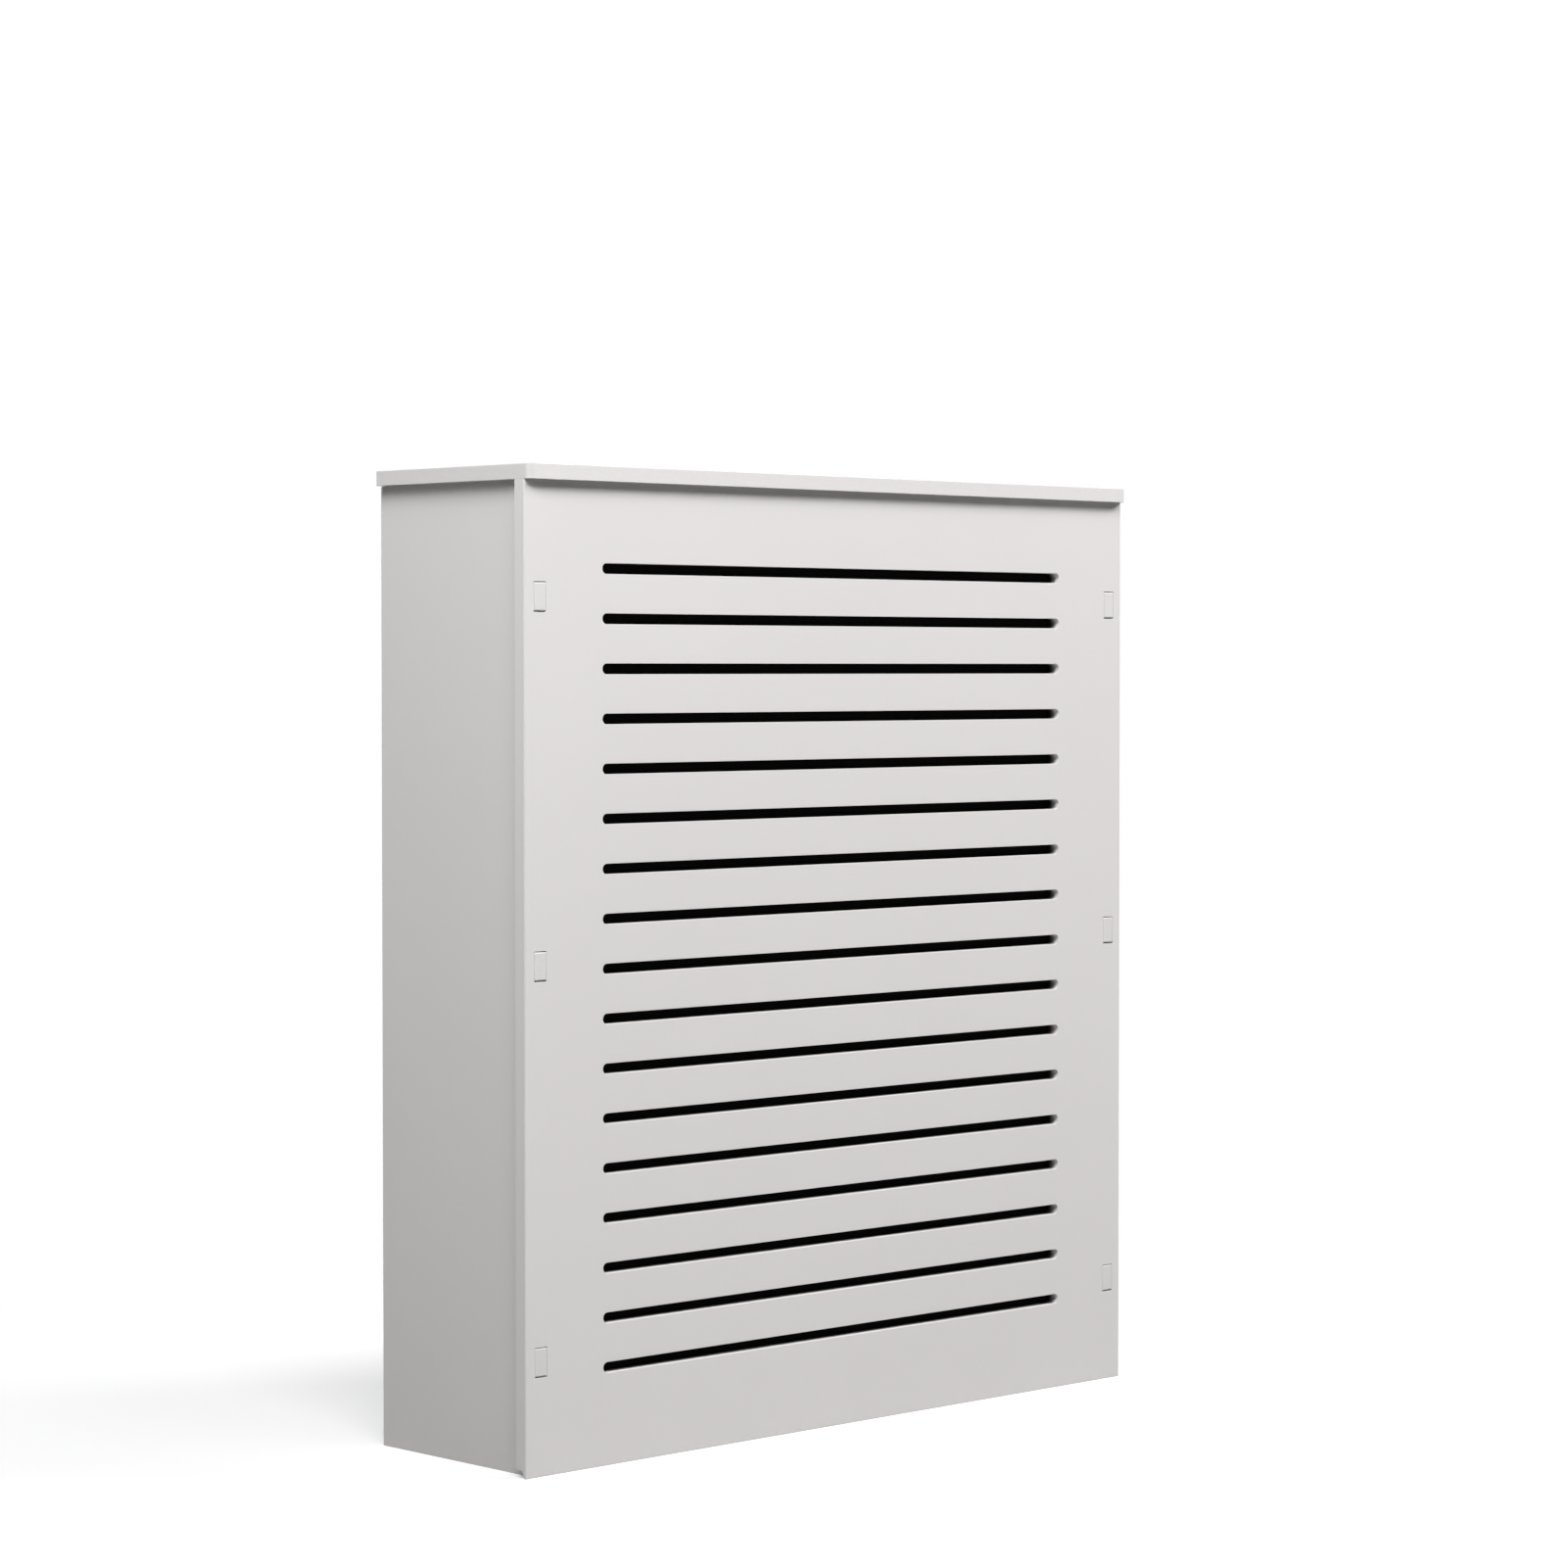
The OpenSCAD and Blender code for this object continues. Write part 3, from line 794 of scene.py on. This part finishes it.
for place_name, batten_corners in batten_outlines.items():
    batten = through_board(
        f"{place_name}_batten_strip",
        (batten_corners, SIDE_CORNER_ROUND),
        [],
        (0, BATTEN_FRONT_Y, 0),
        FACING_FRONT,
        (batten_skin, batten_skin),
        BATTEN_EASE,
        BATTEN_THICK,
    )
    stands_for(batten, "front", f"{place_name}_batten")


# Batten screws
# Twenty small pan-head screws, five along each batten, rolled from wire and zinc plated as the others are.
# They go through batten and cloth into the front panel's back.

BATTEN_SCREW_SIZES = {"head_width": 5, "head_high": 1.6, "shank_width": 2.5, "length": 9, "pitch": 1.1}
BATTEN_SCREW_COUNT = 5
BATTEN_SCREW_END = 20

batten_rear_y = BATTEN_FRONT_Y + BATTEN_THICK
level_end_x = CLOTH_HALF_WIDTH - BATTEN_SCREW_END
level_x = np.linspace(-level_end_x, level_end_x, BATTEN_SCREW_COUNT)
upright_z = np.linspace(ring_low_z + BATTEN_SCREW_END, ring_high_z - BATTEN_SCREW_END, BATTEN_SCREW_COUNT)
level_z = (ring_low_z - BATTEN_WIDTH / 2, ring_high_z + BATTEN_WIDTH / 2)
upright_x = (-ring_in_x - BATTEN_WIDTH / 2, ring_in_x + BATTEN_WIDTH / 2)
batten_spots = [(x, z) for z in level_z for x in level_x] + [(x, z) for x in upright_x for z in upright_z]
batten_screws = screws_piece(
    "batten_pan_screws",
    screw_grid(**BATTEN_SCREW_SIZES, turns=24, dome_rows=9, shank_rows=40),
    [((x, batten_rear_y, z), (0, -1, 0)) for x, z in batten_spots],
    screw_zinc,
)
stands_for(batten_screws, "front", "batten_screws")


# Shelf board
# The top board, of the same 12 mm foam board, with two rounded front corners. It stands 7 mm out past the
# front panel and ends 6 mm short of the wall. Four blind mortises underneath drop over the tenons of the
# side panels.

SHELF_OVERHANG = 7
SHELF_WALL_GAP = 6
SHELF_HALF_WIDTH = PANEL_HALF_WIDTH
SHELF_SPAN_Y = (FRONT_FACE_Y - SHELF_OVERHANG, SIDE_REAR_Y - SHELF_WALL_GAP)
SHELF_TOP_Z = SIDE_TOP_Z + BOARD_THICK
SHELF_FRONT_CORNER = 6
SHELF_REAR_CORNER = 1
SHELF_CORNER_STEPS = 8
SHELF_TOP_EASE = 0.3
SHELF_LOW_EASE = 0.25
# The shelf's sawn edges are a touch lighter than the other sawn edges: a faint painted highlight on the
# foam's white
SHELF_EDGE_WHITE_AND_HIGHLIGHT = "#E7E5E3"
SHELF_EDGE_CELL_SHADE_AND_HIGHLIGHT = "#DEDCD9"
POCKET_DEPTH = 6.3
POCKET_GAP = 0.3
POCKET_BREAK = 0.2

shelf_loop = corner_path(
    rectangle(-SHELF_HALF_WIDTH, SHELF_HALF_WIDTH, *SHELF_SPAN_Y),
    (SHELF_FRONT_CORNER, SHELF_FRONT_CORNER, SHELF_REAR_CORNER, SHELF_REAR_CORNER),
    SHELF_CORNER_STEPS,
)
shelf_grids = [(*eased_edge(*shelf_loop, BOARD_THICK, SHELF_TOP_EASE, SHELF_LOW_EASE), 1)]
# Each blind mortise has a small break round its floor and its mouth
pocket_floor = BOARD_THICK - POCKET_DEPTH
pocket_depth = np.array(
    [pocket_floor, pocket_floor + POCKET_BREAK, BOARD_THICK - POCKET_BREAK, BOARD_THICK]
)
pocket_inset = np.array([-POCKET_BREAK, 0, 0, POCKET_BREAK])
pocket_lean = np.array([np.pi / 2, 0, 0, np.pi / 2])
for x_low, x_high in (MORTISE_X, (-MORTISE_X[1], -MORTISE_X[0])):
    for tenon_front, tenon_back in TENON_SPANS_Y:
        pocket = rectangle(x_low, x_high, tenon_front - POCKET_GAP, tenon_back + POCKET_GAP)
        pocket_path, pocket_out = corner_path(pocket[::-1], SIDE_CORNER_ROUND)
        pocket_shift = pocket_inset[None, :, None] * pocket_out[:, None]
        shelf_grids.append((*edge_grid(pocket_path, pocket_out, pocket_depth, pocket_shift, pocket_lean), 1))
pockets = range(1, len(shelf_grids))
shelf_caps = [([(0, 0)], -1, 0), ([(0, 1)] + [(g, 1) for g in pockets], 1, 0)]
shelf_caps += [([(g, 0)], 1, 1) for g in pockets]
shelf_edge = sawn_foam("sanded PVC foam shelf edge with faint painted highlight", SHELF_EDGE_WHITE_AND_HIGHLIGHT, SHELF_EDGE_CELL_SHADE_AND_HIGHLIGHT)
shelf = board_piece(
    "shelf_board",
    shelf_grids,
    shelf_caps,
    (0, 0, SHELF_TOP_Z),
    ((1, 0, 0), (0, 1, 0), (0, 0, -1)),
    (board_skin, shelf_edge),
)
stands_for(shelf, "shelf", "top_board")


# Studio
# A wide pale floor, a white surround and soft lamps. Camera, glossy and transmitted rays find the surround
# white, and the floor too, but for the object's soft shadow near its foot. All other rays find a grey floor
# and a black surround, so that the boards get their light from the lamps and a little from the floor.

SURROUND_WHITE = "#FFFFFF"
FLOOR_HALF = 7
FLOOR_BOUNCE = "#626261"
FLOOR_SEEN = "#E6E6E6"
FLOOR_LIFT = 0.3
SHADOW_NEAR = 0.4
SHADOW_GONE = 0.95
LAMP_AIM = (0, 0, 0.45)
# Each lamp is (name, place, side, power, colour), in metres and watts
LAMPS = (
    ("front_right", (3.0, -2.2, 3.4), 1.8, 200, "#FFFDFF"),
    ("front_left", (-2.0, -2.9, 4.2), 1.8, 94, "#FFFDFF"),
    ("left_high", (-2.6, -1.6, 3.4), 1.6, 75, "#FEFFFF"),
    ("left_near", (-1.4, -0.5, 1.5), 0.6, 7.3, "#FEFFFF"),
    ("behind", (0.3, 2.4, 0.9), 1.0, 24, "#FFFFFF"),
)


def white_to_eye(tree):
    """One for rays that come from the camera, a reflection or a transmission, and nought for all others."""
    ray = add_node(tree, "ShaderNodeLightPath").outputs
    eye = ray["Is Camera Ray"]
    for kind in ("Is Glossy Ray", "Is Transmission Ray"):
        eye = add_node(tree, "ShaderNodeMath", {0: eye, 1: ray[kind]}, operation="MAXIMUM").outputs["Value"]
    return eye


floor_corners = [(-FLOOR_HALF, -FLOOR_HALF, 0), (FLOOR_HALF, -FLOOR_HALF, 0)]
floor_corners += [(FLOOR_HALF, FLOOR_HALF, 0), (-FLOOR_HALF, FLOOR_HALF, 0)]
floor_mesh = bpy.data.meshes.new("studio_floor")
floor_mesh.from_pydata(floor_corners, [], [(0, 1, 2, 3)])
floor = bpy.data.objects.new("studio_floor", floor_mesh)
bpy.context.scene.collection.objects.link(floor)

floor_paint, tree, output = new_material("matt studio floor")
bounce = add_node(tree, "ShaderNodeBsdfDiffuse", {"Color": linear(FLOOR_BOUNCE)})
matt = add_node(tree, "ShaderNodeBsdfDiffuse", {"Color": linear(FLOOR_SEEN)})
lift = add_node(tree, "ShaderNodeEmission", {"Color": linear(SURROUND_WHITE), "Strength": FLOOR_LIFT})
shaded = add_node(tree, "ShaderNodeAddShader", {0: matt.outputs["BSDF"], 1: lift.outputs["Emission"]})
white = add_node(tree, "ShaderNodeEmission", {"Color": linear(SURROUND_WHITE)})
floor_point = add_node(tree, "ShaderNodeTexCoord").outputs["Object"]
reach = add_node(tree, "ShaderNodeVectorMath", {0: floor_point}, operation="LENGTH")
fade = add_node(
    tree,
    "ShaderNodeMapRange",
    {"Value": reach.outputs["Value"], "From Min": SHADOW_NEAR, "From Max": SHADOW_GONE},
    interpolation_type="SMOOTHSTEP",
)
seen = add_node(
    tree,
    "ShaderNodeMixShader",
    {0: fade.outputs["Result"], 1: shaded.outputs["Shader"], 2: white.outputs["Emission"]},
)
mixed = add_node(
    tree,
    "ShaderNodeMixShader",
    {0: white_to_eye(tree), 1: bounce.outputs["BSDF"], 2: seen.outputs["Shader"]},
)
tree.links.new(mixed.outputs["Shader"], output.inputs["Surface"])
floor_mesh.materials.append(floor_paint)

world = bpy.data.worlds.new("white surround")
bpy.context.scene.world = world
world.use_nodes = True
tree = world.node_tree
tree.nodes.clear()
sky = add_node(
    tree, "ShaderNodeBackground", {"Color": linear(SURROUND_WHITE), "Strength": white_to_eye(tree)}
)
add_node(tree, "ShaderNodeOutputWorld", {"Surface": sky.outputs["Background"]})

for name, place, side, power, colour in LAMPS:
    light = bpy.data.lights.new(name, "AREA")
    light.shape = "RECTANGLE"
    light.size = light.size_y = side
    light.energy = power
    light.color = linear(colour)[:3]
    lamp = bpy.data.objects.new(name, light)
    bpy.context.scene.collection.objects.link(lamp)
    lamp.location = place
    lamp.rotation_euler = (Vector(LAMP_AIM) - Vector(place)).to_track_quat("-Z", "Y").to_euler()


# Camera
# A long lens a little above the middle of the object, from its front left. The place, the two angles and the
# focal length, in pixels of the photo, were fitted to the object's own edges and slots.

CAMERA_PLACE = (-2.4728, -2.6091, 0.6401)
CAMERA_YAW = math.radians(43.699)
CAMERA_DOWN = math.radians(1.593)
FOCAL_PIXELS = 4277
PHOTO_PIXELS = 1601
SENSOR_MM = 36

lens = bpy.data.cameras.new("camera")
lens.sensor_width = SENSOR_MM
lens.lens = FOCAL_PIXELS / PHOTO_PIXELS * SENSOR_MM
camera = bpy.data.objects.new("camera", lens)
bpy.context.scene.collection.objects.link(camera)
camera.location = CAMERA_PLACE
ahead = Vector(
    (
        math.sin(CAMERA_YAW) * math.cos(CAMERA_DOWN),
        math.cos(CAMERA_YAW) * math.cos(CAMERA_DOWN),
        -math.sin(CAMERA_DOWN),
    )
)
camera.rotation_euler = ahead.to_track_quat("-Z", "Y").to_euler()
bpy.context.scene.camera = camera
bpy.context.scene.view_settings.view_transform = "Standard"
